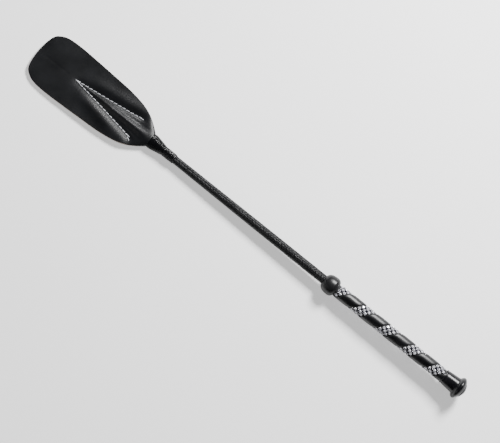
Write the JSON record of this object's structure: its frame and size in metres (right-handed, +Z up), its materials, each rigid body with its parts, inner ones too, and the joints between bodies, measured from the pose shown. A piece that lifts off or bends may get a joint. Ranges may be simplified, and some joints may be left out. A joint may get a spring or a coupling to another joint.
{
  "type": "riding crop",
  "caption": "Jumping-bat riding crop: broad leather flap with V stitching, whipped neck, braided shaft, ball collar, spiral grip set with stones and a mushroom butt cap.",
  "frame": {"origin": "on the surface that the crop lies on, under the middle of its bounding box", "axes": "+X along the crop from the flap to the butt, +Y across the flap, +Z up, away from the surface"},
  "size_m": [0.6098, 0.0656, 0.029],
  "materials": {
    "flap_leather": "fine-grained, soft sheen",
    "grip_leather": "padded, semi-gloss",
    "band": "matt backing",
    "seam_thread": "twisted silver-grey thread",
    "waxed_thread": "waxed sheen",
    "braid": "plaited nylon sheen",
    "fibreglass": "pultruded",
    "foam": "matt foam",
    "rubber": "satin",
    "gloss_black": "polished",
    "clear_stone": "faceted, foil-backed",
    "black_stone": "faceted, polished",
    "silver": "bright"
  },
  "bodies": {
    "crop": {"shaft_rod": "fibreglass", "braided_cover": "braid", "front_ply_root": "flap_leather", "back_ply_root": "flap_leather", "seam_thread_root": "seam_thread", "neck_whipping": "waxed_thread", "shaft_whipping": "waxed_thread", "collar_ball": "rubber", "grip_foam": "foam", "grip_leather": "grip_leather", "stone_band": "band", "clear_stones": "clear_stone", "stone_settings": "silver", "black_stones": "black_stone", "butt_cap": "rubber", "butt_dome": "gloss_black"},
    "flap": {"front_ply_middle": "flap_leather", "back_ply_middle": "flap_leather", "seam_thread_middle": "seam_thread"},
    "front_leaf": {"front_ply_end": "flap_leather"},
    "back_leaf": {"back_ply_end": "flap_leather"}
  },
  "joints": [
    {"name": "flap_flex", "type": "hinge", "parent": "crop", "child": "flap", "pos_m": [-0.21292, 0, 0.00386], "axis": [0, 1, 0], "range_deg": [-60, 60], "stiffness_Nm_per_rad": 0.2},
    {"name": "front_leaf_flex", "type": "hinge", "parent": "flap", "child": "front_leaf", "pos_m": [-0.25695, 0, 0.0046], "axis": [0, 1, 0], "range_deg": [0, 35], "stiffness_Nm_per_rad": 0.08},
    {"name": "back_leaf_flex", "type": "hinge", "parent": "flap", "child": "back_leaf", "pos_m": [-0.25687, 0, 0.0011], "axis": [0, 1, 0], "range_deg": [-35, 0], "stiffness_Nm_per_rad": 0.08}
  ]
}
